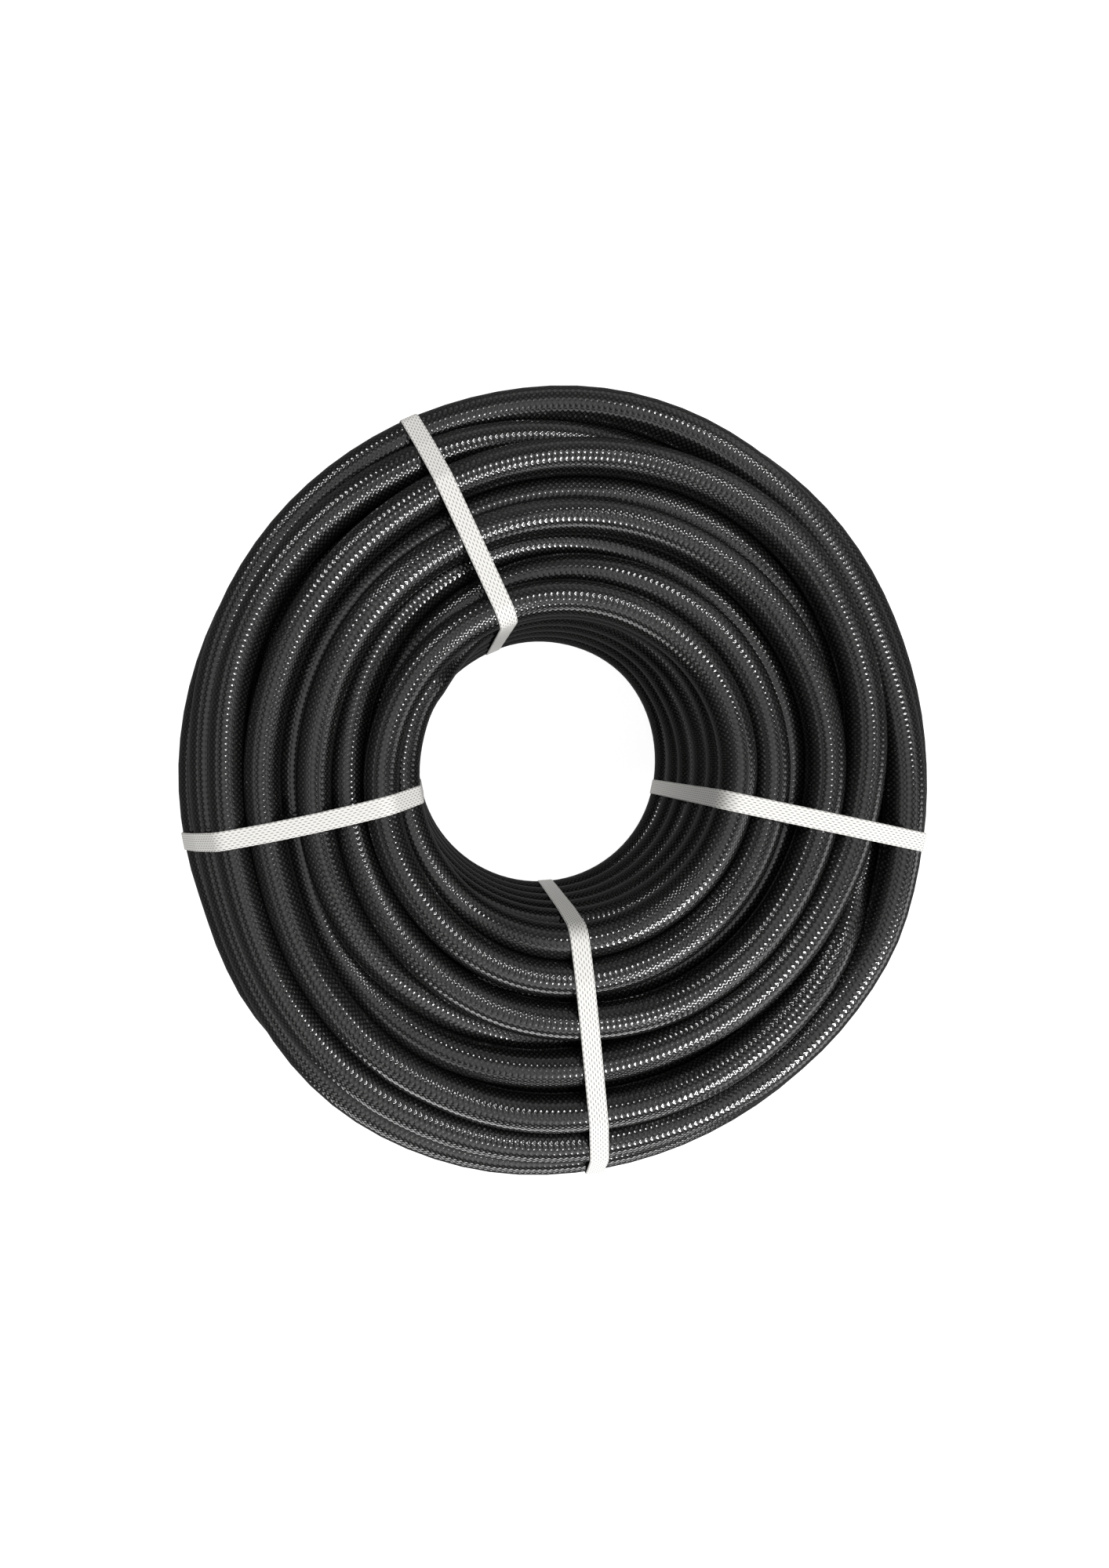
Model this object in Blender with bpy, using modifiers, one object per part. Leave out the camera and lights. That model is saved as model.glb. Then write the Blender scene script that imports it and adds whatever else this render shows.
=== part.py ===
# Coil of soft wash hose, lying flat: one wound ring of hose held by four flat straps.
# Metres, +Z up. The outermost turns are centred on Z, and the straps' undersides lie on z = 0.
import math

import bmesh
import bpy
from mathutils import Vector

# Hose and winding
HOSE_DIAMETER = 0.024
BORE_RADIUS = 0.107        # clear radius inside the innermost turns
OUTER_RADIUS = 0.2785      # mean radius over the outermost turns
COLUMNS = 7                # turns from the bore outwards
LAYERS = 7                 # turns one above another at the bore
SECTION_SIDES = 8          # sides of one turn's section
RING_STEPS = 60

# The bore lies off the outermost turns' centre, and those turns are out of round
BORE_OFFSET = 0.0076
BORE_OFFSET_ANGLE = math.radians(62)
OVAL = 0.0053
OVAL_ANGLE = math.radians(85)

# Straps
STRAP_WIDTH = 0.0125
STRAP_THICKNESS = 0.0007
SEAT_GAP = 0.0003
CORNER_SPACING = 0.006      # nearest two bends of a strap
STRAP_ANGLES = {
    "strap_upper_left": math.radians(113.5),
    "strap_left": math.radians(191),
    "strap_bottom": math.radians(274.5),
    "strap_right": math.radians(348),
}

TURN_RADIUS = HOSE_DIAMETER / 2
FIRST_COLUMN = BORE_RADIUS + TURN_RADIUS
LAST_COLUMN = OUTER_RADIUS - TURN_RADIUS
COLUMN_PITCH = (LAST_COLUMN - FIRST_COLUMN) / (COLUMNS - 1)
RING_BOTTOM = STRAP_THICKNESS + SEAT_GAP
BOTTOM_TURN = RING_BOTTOM + TURN_RADIUS
TOP_TURN = BOTTOM_TURN + (LAYERS - 1) * HOSE_DIAMETER
CORNER = 2 * math.pi / SECTION_SIDES
CREST_HALF = TURN_RADIUS * math.tan(CORNER / 2)


def out_of_round(x, y):
    """Moves a point of the round ring to where the uneven winding has it."""
    radius = math.hypot(x, y)
    angle = math.atan2(y, x)
    share = min(max((radius - FIRST_COLUMN) / (LAST_COLUMN - FIRST_COLUMN), 0.0), 1.0)
    radius += share * OVAL * math.cos(2 * (angle - OVAL_ANGLE))
    offset = (1 - share) * BORE_OFFSET
    return (
        radius * math.cos(angle) + offset * math.cos(BORE_OFFSET_ANGLE),
        radius * math.sin(angle) + offset * math.sin(BORE_OFFSET_ANGLE),
    )


def principled(name, colour, roughness, metallic=0.0):
    material = bpy.data.materials.new(name)
    material.use_nodes = True
    shader = material.node_tree.nodes["Principled BSDF"]
    shader.inputs["Base Color"].default_value = (*colour, 1.0)
    shader.inputs["Roughness"].default_value = roughness
    shader.inputs["Metallic"].default_value = metallic
    return material


def perimeter_turns():
    """Centres (radius, height) of the turns that show: down the outside, in along the
    bottom, up the bore and out along the top. The outside has one turn fewer."""
    middle = (TOP_TURN + BOTTOM_TURN) / 2
    outside = LAYERS - 1
    turns = [
        (LAST_COLUMN, middle + HOSE_DIAMETER * ((outside - 1) / 2 - i)) for i in range(outside)
    ]
    columns = [FIRST_COLUMN + i * COLUMN_PITCH for i in range(COLUMNS - 1)]
    turns += [(radius, BOTTOM_TURN) for radius in reversed(columns)]
    turns += [(FIRST_COLUMN, BOTTOM_TURN + i * HOSE_DIAMETER) for i in range(1, LAYERS)]
    turns += [(radius, TOP_TURN) for radius in columns[1:]]
    return [Vector(turn) for turn in turns]


def ring_outline():
    """Closed outline of the winding's section, with the open sides of each turn's octagon."""
    turns = perimeter_turns()
    points = []
    for i, centre in enumerate(turns):
        before = turns[i - 1]
        after = turns[(i + 1) % len(turns)]
        along = (centre - before).normalized()
        outward = Vector((-along.y, along.x))
        points.append((before + centre) / 2 + outward * CREST_HALF)
        start = math.atan2(before.y - centre.y, before.x - centre.x)
        end = math.atan2(after.y - centre.y, after.x - centre.x)
        if end > start:
            end -= 2 * math.pi
        step = math.floor((start - CORNER / 2) / CORNER)
        while CORNER * (step + 0.5) > end:
            angle = CORNER * (step + 0.5)
            if start - angle > 0.8 * CORNER and angle - end > 0.8 * CORNER:
                reach = TURN_RADIUS / math.cos(CORNER / 2)
                points.append(centre + reach * Vector((math.cos(angle), math.sin(angle))))
            step -= 1
    return points


def turns_left(a, b, c):
    return (b.x - a.x) * (c.y - a.y) - (b.y - a.y) * (c.x - a.x) >= 0


def chain(points):
    """One side of the convex line round the points, in the order given."""
    kept = []
    for point in points:
        while len(kept) > 1 and turns_left(kept[-2], kept[-1], point):
            kept.pop()
        kept.append(point)
    return kept[:-1]


def tight_line(outline):
    """The line (radius, height) that a taut band takes round the whole section."""
    ordered = sorted(outline, key=tuple)
    return chain(ordered) + chain(ordered[::-1])


def thinned(points, spacing):
    """Drops points closer together than the spacing, so each corner keeps a few."""
    kept = [points[0]]
    for point in points[1:]:
        if (point - kept[-1]).length > spacing:
            kept.append(point)
    if (kept[-1] - kept[0]).length <= spacing:
        kept.pop()
    return kept


def offset_line(points, distance):
    """The same closed line moved outwards, with mitred corners."""
    moved = []
    for i, point in enumerate(points):
        a = (point - points[i - 1]).normalized()
        b = (points[(i + 1) % len(points)] - point).normalized()
        normal_a = Vector((-a.y, a.x))
        normal_b = Vector((-b.y, b.x))
        mitre = (normal_a + normal_b).normalized()
        moved.append(point + mitre * (distance / mitre.dot(normal_a)))
    return moved


for thing in list(bpy.data.objects):
    bpy.data.objects.remove(thing, do_unlink=True)

coil_parts = bpy.data.collections.new("soft_wash_hose")
bpy.context.scene.collection.children.link(coil_parts)

hose_black = principled("hose_black", (0.018, 0.017, 0.016), 0.42)
strap_white = principled("strap_white", (0.66, 0.64, 0.59), 0.6)

# The wound ring: the section's outline turned about the bore's axis
outline = ring_outline()
profile_mesh = bpy.data.meshes.new("hose_profile")
profile_mesh.from_pydata(
    [(point.x, 0.0, point.y) for point in outline],
    [(i, (i + 1) % len(outline)) for i in range(len(outline))],
    [],
)
turned = bpy.data.objects.new("hose_profile", profile_mesh)
bpy.context.scene.collection.objects.link(turned)
screw = turned.modifiers.new("turn", "SCREW")
screw.steps = RING_STEPS
screw.render_steps = RING_STEPS
screw.use_merge_vertices = True
screw.merge_threshold = 0.00005
bpy.context.view_layer.update()
depsgraph = bpy.context.evaluated_depsgraph_get()
ring_mesh = bpy.data.meshes.new_from_object(turned.evaluated_get(depsgraph))
bpy.data.objects.remove(turned, do_unlink=True)
for vertex in ring_mesh.vertices:
    vertex.co.x, vertex.co.y = out_of_round(vertex.co.x, vertex.co.y)
ring_mesh.name = "hose_coil"
ring_mesh.materials.clear()
ring_mesh.materials.append(hose_black)
ring_mesh.shade_smooth()
ring_mesh.set_sharp_from_angle(angle=math.radians(60))
coil_parts.objects.link(bpy.data.objects.new("hose_coil", ring_mesh))

# Straps: each a closed band drawn tight round the ring's section, through the bore
FACET_RISE = BORE_RADIUS * (1 - math.cos(math.pi / RING_STEPS))
CHORD_RISE = BORE_RADIUS - math.sqrt(BORE_RADIUS**2 - (STRAP_WIDTH / 2) ** 2)
tight = thinned(tight_line(outline), CORNER_SPACING)
inner_line = offset_line(tight, SEAT_GAP)
outer_line = offset_line(tight, SEAT_GAP + STRAP_THICKNESS)
bore_side = FIRST_COLUMN - CREST_HALF
for name, angle in STRAP_ANGLES.items():
    band = bmesh.new()
    loops = []
    for side in (-STRAP_WIDTH / 2, STRAP_WIDTH / 2):
        for line in (inner_line, outer_line):
            loop = []
            for point in line:
                radius = point.x
                if radius < bore_side:
                    radius -= FACET_RISE + CHORD_RISE
                x = radius * math.cos(angle) - side * math.sin(angle)
                y = radius * math.sin(angle) + side * math.cos(angle)
                loop.append(band.verts.new((*out_of_round(x, y), point.y)))
            loops.append(loop)
    count = len(tight)
    for first, second in ((0, 1), (1, 3), (3, 2), (2, 0)):
        for i in range(count):
            j = (i + 1) % count
            band.faces.new((loops[first][i], loops[first][j], loops[second][j], loops[second][i]))
    bmesh.ops.recalc_face_normals(band, faces=band.faces)
    strap_mesh = bpy.data.meshes.new(name)
    band.to_mesh(strap_mesh)
    band.free()
    strap_mesh.materials.append(strap_white)
    strap_mesh.shade_smooth()
    strap_mesh.set_sharp_from_angle(angle=math.radians(50))
    coil_parts.objects.link(bpy.data.objects.new(name, strap_mesh))
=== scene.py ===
import math

import bpy
import numpy as np
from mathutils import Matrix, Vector


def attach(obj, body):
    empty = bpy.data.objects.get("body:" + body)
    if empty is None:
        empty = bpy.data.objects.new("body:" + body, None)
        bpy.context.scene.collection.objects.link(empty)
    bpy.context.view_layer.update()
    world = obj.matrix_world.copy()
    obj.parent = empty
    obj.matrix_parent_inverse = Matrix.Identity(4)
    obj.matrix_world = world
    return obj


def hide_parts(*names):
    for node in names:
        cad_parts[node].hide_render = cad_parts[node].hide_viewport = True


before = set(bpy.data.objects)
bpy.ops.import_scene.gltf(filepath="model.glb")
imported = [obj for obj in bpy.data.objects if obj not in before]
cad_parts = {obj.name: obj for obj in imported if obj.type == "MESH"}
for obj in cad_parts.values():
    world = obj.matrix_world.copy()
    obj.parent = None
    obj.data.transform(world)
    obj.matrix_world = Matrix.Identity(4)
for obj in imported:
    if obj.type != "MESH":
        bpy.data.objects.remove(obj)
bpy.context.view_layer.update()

# Camera. It looks straight down on the coil from close by, a little left of the bore, so
# the bore's right wall shows. Its place was fitted to the coil's outline and rims in the
# photograph, and the shift puts the coil in the middle of the picture.
CAMERA_PLACE = (-0.0751520161, 0.0184704017, 0.58708)
camera_data = bpy.data.cameras.new("camera")
camera_data.sensor_fit = "AUTO"
camera_data.sensor_width = 36.0
camera_data.lens = 14.83
camera_data.shift_x = 0.0678
camera_data.shift_y = -0.0225
camera_data.clip_start = 0.01
camera = bpy.data.objects.new("camera", camera_data)
camera.location = CAMERA_PLACE
bpy.context.scene.collection.objects.link(camera)
bpy.context.scene.camera = camera

# Hose: one coil of black PVC hose with its braid showing through, taken as 24 mm
# outside. It is wound here column by column, up the bore wall, over the top and down
# again, and four straps hold it. What doesn't show of the winding is assumed.
HOSE = 0.024
HOSE_BORE = 0.016
UNDERSIDE = 0.001          # lowest turns above the floor: a strap and its clearance
AXIS_OFFSET = 0.0076       # bore's axis from the origin
AXIS_ANGLE = math.radians(62)
AXIS = AXIS_OFFSET * np.array((math.cos(AXIS_ANGLE), math.sin(AXIS_ANGLE)))

# Angles along the winding are in degrees and run on from turn to turn. Radii from the
# bore's axis and heights above the underside are in hose diameters.
STATIONS = 90
INNER_END = -1990
OUTER_END = 13285
LAYERS = 7
COLUMNS = 8
TOP = LAYERS - 0.5
BOTTOM = 0.5
FIRST_RADIUS = 4.95
OUTLINE_ANGLES = (0, 49, 100, 132, 163, 202, 231, 259, 279, 308, 337, 360)
OUTLINE_RADII = (10.4, 10.7, 10.9, 10.7, 10.8, 10.97, 11.7, 11.9, 11.64, 11.14, 10.66, 10.4)

# The stretches that show on top, read off the photograph as (angle, radius, depth below
# the top turns). Between them the hose goes down out of sight and comes up.
first_over = (
    (-215, 4.60, 1.00), (-193, 4.55, 0.95), (-155, 4.70, 0.80), (-120, 4.95, 0.65),
    (-95, 4.95, 0.20), (-55, 4.85, 0.20), (5, 4.80, 0.10), (60, 4.65, 0.00),
    (105, 4.70, 0.00), (145, 4.85, 0.00), (185, 5.15, 0.00), (220, 5.45, 0.00),
    (255, 5.85, 0.00), (275, 5.90, 0.05), (315, 5.80, 0.15), (355, 5.80, 0.25),
    (400, 5.70, 0.25), (440, 5.60, 0.50), (465, 5.55, 0.75), (485, 5.40, 0.90),
    (505, 5.45, 1.05),
)
second_over = (
    (3510, 6.50, 0.80), (3545, 6.60, 0.80), (3600, 6.60, 0.85), (3650, 6.50, 0.85),
    (3690, 6.55, 0.90), (3740, 6.30, 0.70), (3780, 6.15, 0.45), (3800, 6.30, 0.35),
    (3820, 6.50, 0.10), (3855, 7.00, 0.00), (3895, 7.20, 0.00), (3935, 7.15, 0.00),
    (3965, 7.25, 0.10), (4010, 7.15, 0.10), (4050, 6.95, 0.00), (4075, 6.85, 0.00),
    (4130, 6.90, 0.00), (4150, 7.05, 0.00), (4170, 7.30, 0.10), (4190, 7.70, 0.35),
    (4220, 7.90, 0.75), (4240, 7.90, 0.95),
)
third_over = (
    (7090, 9.20, 0.90), (7110, 9.05, 0.85), (7130, 8.90, 0.80), (7150, 8.65, 0.85),
    (7170, 8.45, 1.00), (7190, 8.20, 1.05), (7220, 7.95, 0.80), (7240, 8.00, 0.70),
    (7260, 7.95, 0.55), (7280, 7.85, 0.55), (7320, 7.60, 0.65), (7360, 7.65, 0.65),
    (7400, 7.85, 0.75), (7420, 8.35, 0.65), (7440, 8.60, 0.30), (7460, 8.45, 0.10),
    (7495, 8.15, 0.05), (7535, 8.00, 0.00), (7555, 8.20, 0.00), (7580, 8.50, 0.00),
    (7600, 8.75, 0.00), (7620, 8.80, 0.00), (7640, 8.65, 0.00), (7665, 8.50, 0.00),
    (7685, 8.35, 0.00), (7725, 8.35, 0.00), (7760, 8.55, 0.00), (7780, 9.05, 0.00),
    (7800, 9.50, 0.00), (7820, 9.70, 0.00), (7835, 9.55, 0.00), (7855, 9.45, 0.05),
    (7875, 9.25, 0.20), (7895, 9.15, 0.75),
)
fourth_over = (
    (10870, 9.35, 1.00), (10900, 9.50, 0.60), (10925, 9.55, 0.30), (10945, 9.70, 0.25),
    (10965, 9.60, 0.10), (10980, 9.40, 0.00), (11000, 9.55, 0.00), (11010, 9.80, 0.00),
    (11020, 10.10, 0.00), (11030, 10.35, 0.00), (11040, 10.50, 0.05), (11060, 10.70, 0.25),
    (11080, 10.60, 0.45), (11120, 10.30, 0.50), (11135, 9.95, 0.35), (11155, 9.55, 0.25),
    (11180, 9.45, 0.45), (11200, 9.70, 0.50), (11220, 9.95, 0.40), (11240, 10.25, 0.50),
    (11260, 10.45, 0.85), (11300, 10.50, 0.90), (11320, 10.40, 0.80), (11340, 10.25, 0.80),
    (11360, 10.35, 0.85), (11370, 10.60, 0.85), (11380, 10.90, 0.85), (11390, 11.25, 0.85),
    (11400, 11.45, 0.90), (11420, 11.60, 1.10), (11440, 11.45, 1.35), (11460, 11.20, 1.45),
    (11495, 10.75, 1.45), (11520, 10.35, 1.35), (11540, 10.35, 1.40), (11560, 10.55, 1.45),
    (11600, 10.75, 1.60), (11630, 10.70, 1.85), (11665, 10.95, 1.85), (11700, 10.95, 1.65),
    (11720, 11.05, 1.70), (11740, 11.50, 1.80),
)
shown_stretches = (first_over, second_over, third_over, fourth_over)

# The columns out of sight, as (angle and height at the start, angle and height at the
# end). Odd columns climb to a stretch that shows, and even ones go down from it. Their
# number and turns are assumed, chosen so that the hose comes to about 50 m in all.
hidden_columns = (
    (INNER_END, BOTTOM, -245, TOP - 1.05),
    (560, TOP - 1.2, 1990, BOTTOM),
    (2080, BOTTOM, 3480, TOP - 1.0),
    (4280, TOP - 1.2, 5630, BOTTOM),
    (5720, BOTTOM, 7050, TOP - 1.1),
    (7940, TOP - 1.2, 9350, BOTTOM),
    (9440, BOTTOM, 10830, TOP - 1.2),
    (11770, TOP - 1.95, 13000, BOTTOM),
)
PLAN_STEP = 20


def outline_radius(angle):
    return np.interp(np.mod(angle, 360), OUTLINE_ANGLES, OUTLINE_RADII)


def hidden_run(start, start_height, end, end_height, column):
    """Turns inside the coil, at their column's share of the way from bore to outside."""
    angles = np.linspace(start, end, max(2, int((end - start) / PLAN_STEP)))
    share = (column - 1) / (COLUMNS - 1)
    radii = FIRST_RADIUS + share * (outline_radius(angles) - FIRST_RADIUS)
    heights = np.linspace(start_height, end_height, len(angles))
    return list(zip(angles, radii, heights))


def shown_run(readings):
    return [(angle, radius, TOP - depth) for angle, radius, depth in readings]


def smoothed(values, half):
    """Weighted running mean along the hose; a straight run stays as it is."""
    weights = np.hanning(2 * half + 3)[1:-1]
    weights /= weights.sum()
    padded = np.concatenate((
        2 * values[0] - values[half:0:-1],
        values,
        2 * values[-1] - values[-2:-half - 2:-1],
    ))
    return np.convolve(padded, weights, "valid")


planned = []
for column, stretch in enumerate(hidden_columns, start=1):
    planned += hidden_run(*stretch, column)
    if column % 2 == 1:
        planned += shown_run(shown_stretches[column // 2])
last_angle = hidden_columns[-1][2]
planned += hidden_run(last_angle + 1, BOTTOM, OUTER_END, BOTTOM, COLUMNS)
plan_angles, plan_radii, plan_heights = np.array(planned).T

EVEN_OUT = 2               # stations either side that the hose's stiffness evens out
step = 360 // STATIONS
winding = np.arange(math.ceil(INNER_END / step), OUTER_END // step + 1) * step
wanted_radius = smoothed(np.interp(winding, plan_angles, plan_radii), EVEN_OUT)
wanted_height = smoothed(np.interp(winding, plan_angles, plan_heights), EVEN_OUT)
shown = np.zeros(len(winding), bool)
for readings in shown_stretches:
    shown |= (winding >= readings[0][0]) & (winding <= readings[-1][0])

# The turns settle against each other: pairs that overlap at a station are pushed
# apart, the winding's pull draws hidden turns in, and the hose's stiffness evens
# out each turn. Turns that show keep close to where they were read, and that hold
# fades at each end of a shown stretch, so that the hose doesn't kink.
SETTLING_ROUNDS = 500
TENSION_ROUNDS = 400
SHOWN_GIVE = 0.15          # how easily a turn that shows is pushed, against 1 for a hidden one
SHOWN_PULL = 0.25          # share of the way back to the wanted place, each round
HIDDEN_PULL = 0.003
PUSH_APART = 0.8           # share of an overlap taken up each round
TENSION = 0.0015
STIFFNESS = 0.25
FADE = 6                   # stations over which the hold fades
INNER_ROOM = 0.1
SLACK = 0.05
TINY = 1e-9
FAR_AWAY = 1e3             # stands for a turn that isn't there
count = len(winding)
turn, station = np.divmod(np.arange(count), STATIONS)
turns = turn.max() + 1
one, other = np.triu_indices(turns, 1)
give = np.zeros((turns, STATIONS))
hold = smoothed(shown.astype(float), FADE)
give[turn, station] = 1.0 + (SHOWN_GIVE - 1.0) * hold
share = give[one] / (give[one] + give[other] + TINY)
sections = np.zeros((turns, STATIONS, 2))
sections[:] = FAR_AWAY * (1 + np.arange(turns))[:, None, None]
radius = wanted_radius.copy()
height = wanted_height.copy()
inner_limit = np.minimum(FIRST_RADIUS, wanted_radius - INNER_ROOM)
outer_limit = outline_radius(winding) + SLACK
pull = HIDDEN_PULL + (SHOWN_PULL - HIDDEN_PULL) * hold**2
for settling in range(SETTLING_ROUNDS):
    sections[turn, station, 0] = radius
    sections[turn, station, 1] = height
    apart = sections[one] - sections[other]
    distance = np.sqrt((apart**2).sum(-1)) + TINY
    push = (np.maximum(0, 1 - distance) / distance)[..., None] * apart
    moved = np.zeros_like(sections)
    np.add.at(moved, one, push * share[..., None])
    np.add.at(moved, other, -push * (1 - share)[..., None])
    radius += PUSH_APART * moved[turn, station, 0] + pull * (wanted_radius - radius)
    height += PUSH_APART * moved[turn, station, 1] + pull * (wanted_height - height)
    if settling < TENSION_ROUNDS:
        radius -= TENSION * (1 - hold)
    radius = (1 - STIFFNESS) * radius + STIFFNESS * smoothed(radius, EVEN_OUT)
    height = (1 - STIFFNESS) * height + STIFFNESS * smoothed(height, EVEN_OUT)
    radius = np.clip(radius, inner_limit, outer_limit)
    height = np.clip(height, BOTTOM, TOP + SLACK)

angle = np.radians(winding)
hose_line = np.column_stack((
    AXIS[0] + HOSE * radius * np.cos(angle),
    AXIS[1] + HOSE * radius * np.sin(angle),
    UNDERSIDE + HOSE * height,
))

# The hose's skin: rings across the line, with a flat cut and the 16 mm bore at each
# end. Its map runs once round the hose and in metres along it, for the braid.
SIDES = 24
BORE_DEPTH = 0.03
ahead = np.gradient(hose_line, axis=0)
ahead /= np.linalg.norm(ahead, axis=1)[:, None]
sideways = np.cross(ahead, (0.0, 0.0, 1.0))
sideways /= np.linalg.norm(sideways, axis=1)[:, None]
upwards = np.cross(sideways, ahead)
lengths = np.linalg.norm(np.diff(hose_line, axis=0), axis=1)
along = np.concatenate(((0.0,), np.cumsum(lengths)))
hose_length = float(along[-1])
around = 2 * math.pi * np.arange(SIDES) / SIDES
circle = np.stack((np.cos(around), np.sin(around)), axis=1)


def ring(place, i, r):
    return place + r * (circle[:, :1] * sideways[i] + circle[:, 1:] * upwards[i])


inner_bore = [
    ring(hose_line[0] + ahead[0] * BORE_DEPTH, 0, HOSE_BORE / 2),
    ring(hose_line[0], 0, HOSE_BORE / 2),
]
outer_bore = [
    ring(hose_line[-1], -1, HOSE_BORE / 2),
    ring(hose_line[-1] - ahead[-1] * BORE_DEPTH, -1, HOSE_BORE / 2),
]
rings = inner_bore + [ring(hose_line[i], i, HOSE / 2) for i in range(count)] + outer_bore
ring_along = np.concatenate(((0.0, 0.0), along, (hose_length, hose_length)))
ring_count = len(rings)
corner = np.arange(SIDES)
following = (corner + 1) % SIDES
base = SIDES * np.arange(ring_count - 1)[:, None]
quads = np.stack(
    (base + corner, base + following, base + SIDES + following, base + SIDES + corner),
    axis=2,
)
inner_cap = list(range(SIDES - 1, -1, -1))
outer_cap = list(range(SIDES * (ring_count - 1), SIDES * ring_count))
hose_mesh = bpy.data.meshes.new("hose")
hose_mesh.from_pydata(
    np.concatenate(rings).tolist(),
    [],
    quads.reshape(-1, 4).tolist() + [inner_cap, outer_cap],
)
hose_map = hose_mesh.uv_layers.new(name="braid")
quad_u = np.stack((corner, corner + 1, corner + 1, corner), axis=1) / SIDES
quad_u = np.broadcast_to(quad_u, (ring_count - 1, SIDES, 4))
quad_v = np.stack((ring_along[:-1], ring_along[:-1], ring_along[1:], ring_along[1:]), axis=1)
quad_v = np.broadcast_to(quad_v[:, None, :], (ring_count - 1, SIDES, 4))
coordinates = np.stack((quad_u, quad_v), axis=3).reshape(-1, 2)
coordinates = np.concatenate((coordinates, np.zeros((2 * SIDES, 2))))
hose_map.data.foreach_set("uv", coordinates.ravel().astype(np.float32))
hose_mesh.shade_smooth()
hose_mesh.set_sharp_from_angle(angle=math.radians(50))
hose = bpy.data.objects.new("hose", hose_mesh)
bpy.context.scene.collection.objects.link(hose)


def shader_nodes(name):
    material = bpy.data.materials.new(name)
    material.use_nodes = True
    tree = material.node_tree
    return material, tree, tree.nodes["Principled BSDF"]


def math_node(tree, operation, a, b=None):
    node = tree.nodes.new("ShaderNodeMath")
    node.operation = operation
    for socket, value in zip(node.inputs, (a, b)):
        if value is None:
            continue
        if isinstance(value, (int, float)):
            socket.default_value = value
        else:
            tree.links.new(value, socket)
    return node.outputs[0]


# Black PVC over a braid: the yarns lift the skin in staggered rows of small lumps, 18
# round the hose and one every 3.9 mm along it, and the glossy skin carries dust.
YARNS = 18
LUMP_SPACING = 0.0039
LUMP_HEIGHT = 0.00015
LUMP_SHARPNESS = 1.5
# The skin's colour is painted shade and light: darker in the grooves between the lumps and
# lighter on their tops, so the braid reads in its colour as well as in its bumps.
SHADE_PAINTED_BETWEEN_LUMPS = (0.0020, 0.0020, 0.0021, 1.0)
LIGHT_PAINTED_ON_LUMPS = (0.0200, 0.0191, 0.0182, 1.0)
DUST_COLOUR = (0.10, 0.097, 0.092, 1.0)
DUST_SCALE = 260.0
DUST_SIZE = 0.07
PATCH_SCALE = 60.0
PATCH_DETAIL = 4.0
PATCH_LOW = 0.3
PATCH_HIGH = 0.7
GLOSSIEST = 0.09
DULLEST = 0.16
PVC_IOR = 1.5
hose_skin, tree, skin = shader_nodes("hose_skin")
uv = tree.nodes.new("ShaderNodeUVMap")
uv.uv_map = "braid"
split = tree.nodes.new("ShaderNodeSeparateXYZ")
tree.links.new(uv.outputs["UV"], split.inputs[0])
across = math_node(tree, "MULTIPLY", split.outputs[0], math.pi * YARNS)
lengthwise = math_node(tree, "MULTIPLY", split.outputs[1], math.pi / LUMP_SPACING)
left_yarn = math_node(tree, "SINE", math_node(tree, "ADD", across, lengthwise))
right_yarn = math_node(tree, "SINE", math_node(tree, "SUBTRACT", across, lengthwise))
crossings = math_node(tree, "ABSOLUTE", math_node(tree, "MULTIPLY", left_yarn, right_yarn))
lumps = math_node(tree, "POWER", crossings, LUMP_SHARPNESS)
braid_bump = tree.nodes.new("ShaderNodeBump")
braid_bump.inputs["Strength"].default_value = 1.0
braid_bump.inputs["Distance"].default_value = LUMP_HEIGHT
tree.links.new(lumps, braid_bump.inputs["Height"])
place = tree.nodes.new("ShaderNodeTexCoord")
patches = tree.nodes.new("ShaderNodeTexNoise")
patches.inputs["Scale"].default_value = PATCH_SCALE
patches.inputs["Detail"].default_value = PATCH_DETAIL
tree.links.new(place.outputs["Object"], patches.inputs["Vector"])
gloss = tree.nodes.new("ShaderNodeMapRange")
gloss.inputs["From Min"].default_value = PATCH_LOW
gloss.inputs["From Max"].default_value = PATCH_HIGH
gloss.inputs["To Min"].default_value = GLOSSIEST
gloss.inputs["To Max"].default_value = DULLEST
tree.links.new(patches.outputs[0], gloss.inputs["Value"])
tree.links.new(gloss.outputs[0], skin.inputs["Roughness"])
specks = tree.nodes.new("ShaderNodeTexVoronoi")
specks.inputs["Scale"].default_value = DUST_SCALE
tree.links.new(place.outputs["Object"], specks.inputs["Vector"])
dust = math_node(tree, "LESS_THAN", specks.outputs["Distance"], DUST_SIZE)
# Painted shade of the braid: the lumps' mask mixes a near-black colour in the grooves with a
# colour ten times paler on the lumps' tops.
painted_braid_shade = tree.nodes.new("ShaderNodeMix")
painted_braid_shade.data_type = "RGBA"
painted_braid_shade.inputs[6].default_value = SHADE_PAINTED_BETWEEN_LUMPS
painted_braid_shade.inputs[7].default_value = LIGHT_PAINTED_ON_LUMPS
tree.links.new(lumps, painted_braid_shade.inputs["Factor"])
tone = tree.nodes.new("ShaderNodeMix")
tone.data_type = "RGBA"
tree.links.new(painted_braid_shade.outputs[2], tone.inputs[6])
tone.inputs[7].default_value = DUST_COLOUR
tree.links.new(dust, tone.inputs["Factor"])
tree.links.new(tone.outputs[2], skin.inputs["Base Color"])
tree.links.new(braid_bump.outputs[0], skin.inputs["Normal"])
skin.inputs["IOR"].default_value = PVC_IOR
hose_mesh.materials.append(hose_skin)

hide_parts("hose_coil")
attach(hose, "root")

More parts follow.
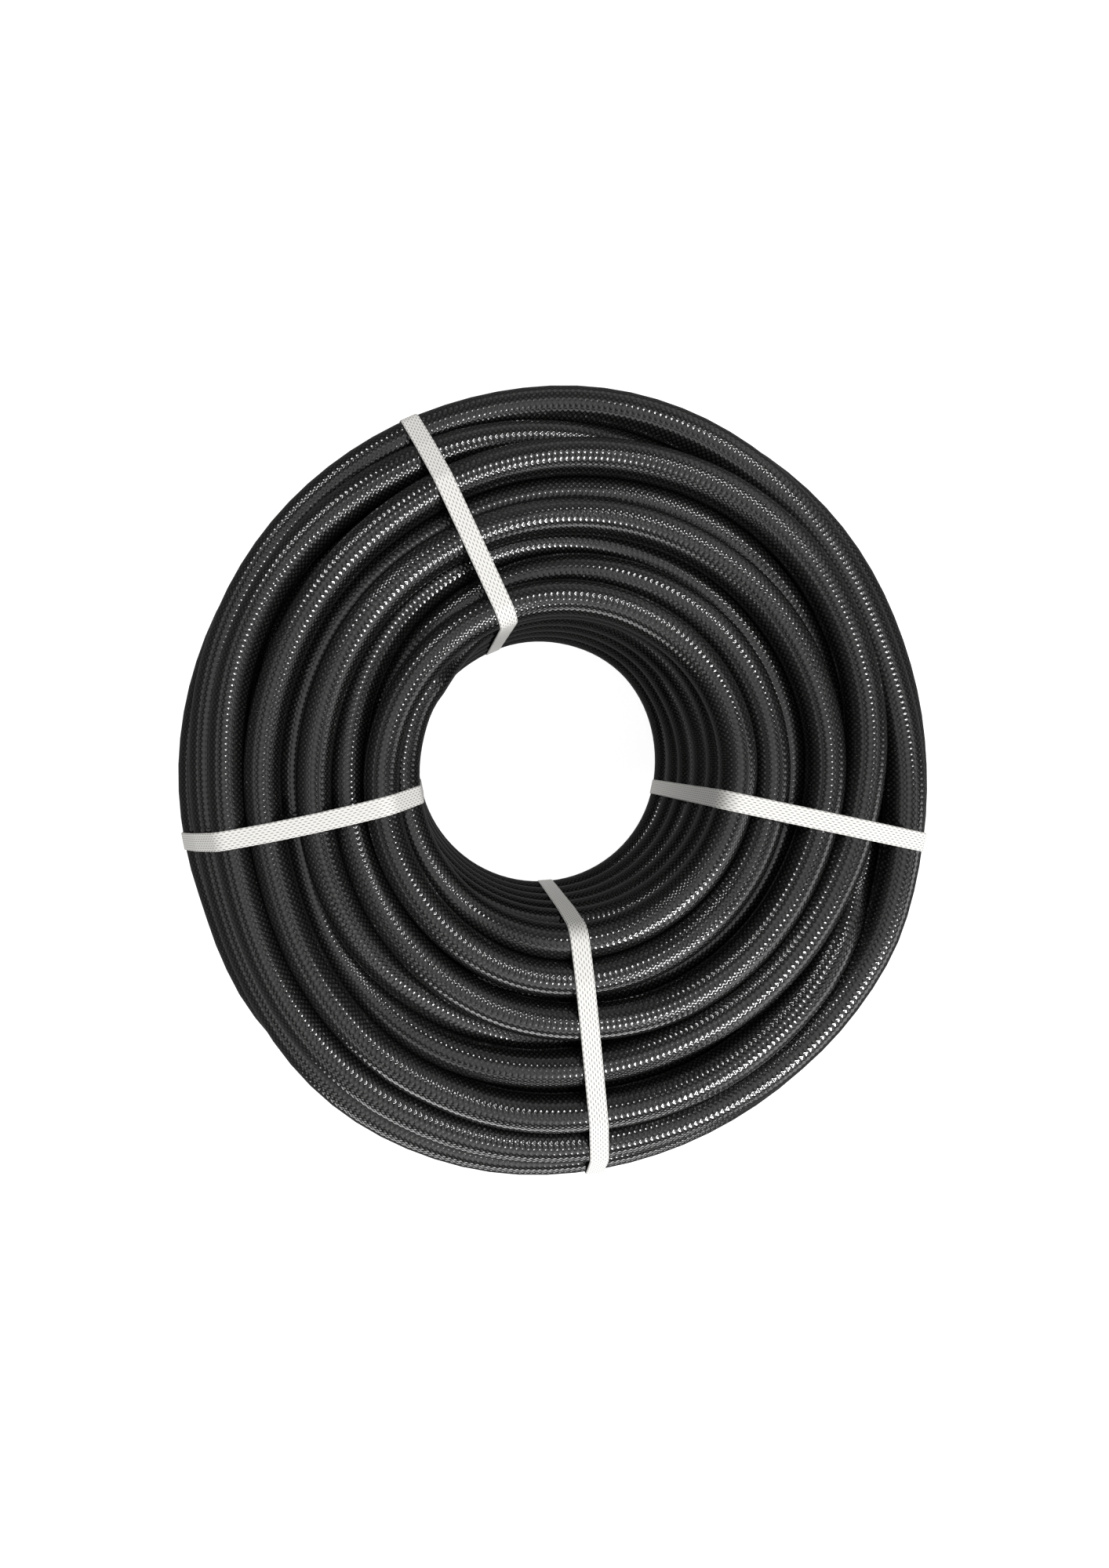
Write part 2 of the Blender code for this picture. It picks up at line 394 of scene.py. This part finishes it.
# Straps: four flat woven bands, each drawn tight round the coil's section through the
# bore and made as a closed loop, since no joint shows. A band crosses the crests of the
# turns in straight runs, and small teeth of its weave show along its edges.
BAND_WIDTH = 0.0125
BAND_THICK = 0.0007
SEAT = UNDERSIDE - BAND_THICK
NEAR_ENOUGH = 3.1          # degrees from a strap within which a turn bears on it
BENDS = 48
WEAVE_PITCH = 0.0038
STEPS_PER_TOOTH = 4
TEETH = 0.00012
CORNER_WIDTH = 0.0004
EDGE_RISE = 0.3            # height of the toothed edge, as a share of the thickness


def turned_left(a, b, c):
    return (b[0] - a[0]) * (c[1] - a[1]) - (b[1] - a[1]) * (c[0] - a[0]) >= 0


def convex_chain(points):
    kept = []
    for point in points:
        while len(kept) > 1 and turned_left(kept[-2], kept[-1], point):
            kept.pop()
        kept.append(point)
    return kept[:-1]


def taut_line(at_angle):
    """Closed line (radius, height) in metres just clear of the turns near an angle."""
    near = np.abs((winding - at_angle + 180) % 360 - 180) <= NEAR_ENOUGH
    bend = 2 * math.pi * np.arange(BENDS) / BENDS
    reach = HOSE / 2 + SEAT
    points = []
    for r, h in zip(radius[near] * HOSE, height[near] * HOSE + UNDERSIDE):
        points += list(zip(r + reach * np.cos(bend), h + reach * np.sin(bend)))
    points.sort()
    return np.array(convex_chain(points) + convex_chain(points[::-1]))


def evenly(line, spacing):
    """Even points along the closed line, their places along it and its length."""
    closed = np.vstack((line, line[:1]))
    sides = np.linalg.norm(np.diff(closed, axis=0), axis=1)
    run = np.concatenate(((0.0,), np.cumsum(sides)))
    steps = int(round(run[-1] / spacing))
    places = np.linspace(0, run[-1], steps, endpoint=False)
    radii = np.interp(places, run, closed[:, 0])
    heights = np.interp(places, run, closed[:, 1])
    return np.column_stack((radii, heights)), places, run[-1]


def woven_band(name, at_angle, lean, bow, material):
    """A flat closed band. Sideways, in metres, it drifts by lean from bore to outside
    and bulges by bow halfway."""
    line, places, total = evenly(taut_line(at_angle), WEAVE_PITCH / STEPS_PER_TOOTH)
    count = len(line)
    before = np.roll(line, 1, axis=0)
    after = np.roll(line, -1, axis=0)
    direction = (after - before) / np.linalg.norm(after - before, axis=1)[:, None]
    outward = np.column_stack((-direction[:, 1], direction[:, 0]))
    turn_in = math.radians(at_angle)
    radial = np.array((math.cos(turn_in), math.sin(turn_in)))
    tangent = np.array((-math.sin(turn_in), math.cos(turn_in)))
    way_out = (line[:, 0] - line[:, 0].min()) / np.ptp(line[:, 0])
    drift = lean * (way_out - 0.5) + bow * 4 * way_out * (1 - way_out)
    standing_out = np.arange(count) % STEPS_PER_TOOTH < STEPS_PER_TOOTH / 2
    tooth = np.where(standing_out, TEETH, -TEETH)
    half = BAND_WIDTH / 2
    edge = BAND_THICK * EDGE_RISE
    profile = (
        (-half, 0.0, 0), (-half, edge, -1), (-half + CORNER_WIDTH, BAND_THICK, 0),
        (0.0, BAND_THICK, 0), (half - CORNER_WIDTH, BAND_THICK, 0), (half, edge, 1),
        (half, 0.0, 0), (0.0, 0.0, 0),
    )
    loops = []
    for side, rise, toothed in profile:
        flat = line + outward * rise
        offset = side + drift + toothed * tooth
        loops.append(np.column_stack((
            AXIS[0] + flat[:, 0] * radial[0] + offset * tangent[0],
            AXIS[1] + flat[:, 0] * radial[1] + offset * tangent[1],
            flat[:, 1],
        )))
    width = len(profile)
    points = np.stack(loops, axis=1).reshape(-1, 3)
    faces = []
    coordinates = []
    for i in range(count):
        j = (i + 1) % count
        far = places[i] + total / count
        for k in range(width):
            m = (k + 1) % width
            faces.append((width * i + k, width * i + m, width * j + m, width * j + k))
            a = profile[k][0] + half
            b = profile[m][0] + half
            coordinates += [(a, places[i]), (b, places[i]), (b, far), (a, far)]
    mesh = bpy.data.meshes.new(name)
    mesh.from_pydata(points.tolist(), [], faces)
    weave_map = mesh.uv_layers.new(name="weave")
    weave_map.data.foreach_set("uv", np.array(coordinates, np.float32).ravel())
    mesh.shade_smooth()
    mesh.set_sharp_from_angle(angle=math.radians(40))
    mesh.materials.append(material)
    band = bpy.data.objects.new(name, mesh)
    bpy.context.scene.collection.objects.link(band)
    return band


# Off-white yarn: floats in staggered rows, with small dark holes between them. A hole's
# half width and half length are shares of a row and of the weave's pitch.
ROWS = 8
HOLE_HALF_WIDTH = 0.20
HOLE_HALF_LENGTH = 0.29
HOLE_RIM = 1.20
HOLE_CORE = 0.80
HOLE_DARKNESS = 0.75
WEAVE_RELIEF = 0.0003
YARN_COLOUR = (0.62, 0.61, 0.585, 1.0)
HOLE_COLOUR = (0.10, 0.10, 0.10, 1.0)
weave, tree, yarn = shader_nodes("strap_weave")
uv = tree.nodes.new("ShaderNodeUVMap")
uv.uv_map = "weave"
split = tree.nodes.new("ShaderNodeSeparateXYZ")
tree.links.new(uv.outputs["UV"], split.inputs[0])
row = math_node(tree, "MULTIPLY", split.outputs[0], ROWS / BAND_WIDTH)
row_number = math_node(tree, "FLOOR", row)
row_place = math_node(tree, "SUBTRACT", math_node(tree, "FRACT", row), 0.5)
shifted = math_node(tree, "MULTIPLY", math_node(tree, "MODULO", row_number, 2.0), 0.5)
pitches = math_node(tree, "MULTIPLY", split.outputs[1], 1 / WEAVE_PITCH)
run = math_node(tree, "ADD", pitches, shifted)
run_place = math_node(tree, "SUBTRACT", math_node(tree, "FRACT", run), 0.5)
wide = math_node(tree, "POWER", math_node(tree, "DIVIDE", row_place, HOLE_HALF_WIDTH), 2.0)
long = math_node(tree, "POWER", math_node(tree, "DIVIDE", run_place, HOLE_HALF_LENGTH), 2.0)
from_centre = math_node(tree, "SQRT", math_node(tree, "ADD", wide, long))
hole = tree.nodes.new("ShaderNodeMapRange")
hole.interpolation_type = "SMOOTHSTEP"
hole.inputs["From Min"].default_value = HOLE_RIM
hole.inputs["From Max"].default_value = HOLE_CORE
tree.links.new(from_centre, hole.inputs["Value"])
tone = tree.nodes.new("ShaderNodeMix")
tone.data_type = "RGBA"
tone.inputs[6].default_value = YARN_COLOUR
tone.inputs[7].default_value = HOLE_COLOUR
darkened = math_node(tree, "MULTIPLY", hole.outputs[0], HOLE_DARKNESS)
tree.links.new(darkened, tone.inputs["Factor"])
tree.links.new(tone.outputs[2], yarn.inputs["Base Color"])
yarn.inputs["Roughness"].default_value = 0.55
weave_bump = tree.nodes.new("ShaderNodeBump")
weave_bump.inputs["Strength"].default_value = 0.5
weave_bump.inputs["Distance"].default_value = WEAVE_RELIEF
raised = math_node(tree, "SUBTRACT", 1.0, hole.outputs[0])
tree.links.new(raised, weave_bump.inputs["Height"])
tree.links.new(weave_bump.outputs[0], yarn.inputs["Normal"])

# Each strap's angle from +X, its lean and its bow. The upper left and the bottom one
# lie a little askew, and the left one is slightly curved.
for side, at_angle, lean, bow in (
    ("upper_left", 113.5, 0.004, 0.0),
    ("left", 191.5, 0.0, 0.003),
    ("bottom", 274.5, 0.003, 0.0),
    ("right", 348.0, 0.0, 0.0),
):
    strap = woven_band("strap_" + side + "_band", at_angle, lean, bow, weave)
    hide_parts("strap_" + side)
    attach(strap, "root")

# Floor: a plain, nearly white studio sheet. Nearly all of its paleness is its own glow,
# so that it is as pale in the coil's bore as round the coil. It is kept out of the gloss
# of the hose, because the bore's walls in the photograph are dark.
bpy.ops.object.select_all(action="DESELECT")
bpy.ops.mesh.primitive_plane_add(size=8.0, location=(0.0, 0.0, 0.0))
floor = bpy.context.object
floor.name = "studio_floor"
paper, tree, surface = shader_nodes("studio_paper")
surface.inputs["Base Color"].default_value = (0.30, 0.30, 0.30, 1.0)
surface.inputs["Roughness"].default_value = 0.9
surface.inputs["Emission Color"].default_value = (1.0, 1.0, 1.0, 1.0)
surface.inputs["Emission Strength"].default_value = 0.93
floor.data.materials.append(paper)
floor.visible_glossy = False


# Light: a dim room with soft panels in its ceiling, three small lamps overhead that draw
# rows of glints along the turns, and three low panels whose reflections edge the turns.
CEILING = 2.20
RING_MIDDLE = 1.92
RING_WIDTH = 0.93
RING_REACH = 2 * RING_MIDDLE + RING_WIDTH
RING_GAP = 2 * RING_MIDDLE - RING_WIDTH
COIL_MIDDLE = Vector((0.0, 0.0, 0.1))
ROOM_BRIGHTNESS = 0.13


def panel(name, place, width, height, brightness):
    """An area lamp facing straight down; brightness is its radiance, so power follows."""
    data = bpy.data.lights.new(name, "AREA")
    data.shape = "RECTANGLE"
    data.size = width
    data.size_y = height
    data.energy = math.pi * width * height * brightness
    obj = bpy.data.objects.new(name, data)
    obj.location = place
    bpy.context.scene.collection.objects.link(obj)
    return obj


def lamp(name, place, width, height, brightness):
    """The same, turned to face the coil."""
    obj = panel(name, place, width, height, brightness)
    obj.rotation_euler = (COIL_MIDDLE - Vector(place)).to_track_quat("-Z", "Y").to_euler()


panel("ceiling_middle", (0.0, 0.0, CEILING), 1.5, 1.5, 1.1)
panel("ceiling_right", (RING_MIDDLE, 0.0, CEILING), RING_WIDTH, RING_REACH, 1.3)
panel("ceiling_left", (-RING_MIDDLE, 0.0, CEILING), RING_WIDTH, RING_REACH, 0.9)
panel("ceiling_far", (0.0, RING_MIDDLE, CEILING), RING_GAP, RING_WIDTH, 0.3)
panel("ceiling_near", (0.0, -RING_MIDDLE, CEILING), RING_GAP, RING_WIDTH, 2.1)
panel("ceiling_near_right", (0.55, -1.10, CEILING), 1.3, 0.65, 1.8)
lamp("far_left_lamp", (-0.72, 1.03, 1.40), 0.22, 0.22, 38.0)
lamp("far_right_lamp", (0.62, 0.52, 1.75), 0.22, 0.22, 50.0)
lamp("near_lamp", (0.85, -0.95, 1.60), 0.30, 0.30, 80.0)
lamp("lower_panel", (0.0, -2.60, 0.45), 3.0, 0.7, 6.0)
lamp("right_panel", (2.30, -1.30, 0.90), 2.6, 1.1, 2.2)
lamp("upper_panel", (0.9, 2.30, 1.20), 3.2, 1.2, 0.6)
world = bpy.data.worlds.new("studio")
bpy.context.scene.world = world
world.use_nodes = True
background = world.node_tree.nodes["Background"]
background.inputs["Color"].default_value = (1.0, 1.0, 1.0, 1.0)
background.inputs["Strength"].default_value = ROOM_BRIGHTNESS
bpy.context.scene.view_settings.view_transform = "Standard"
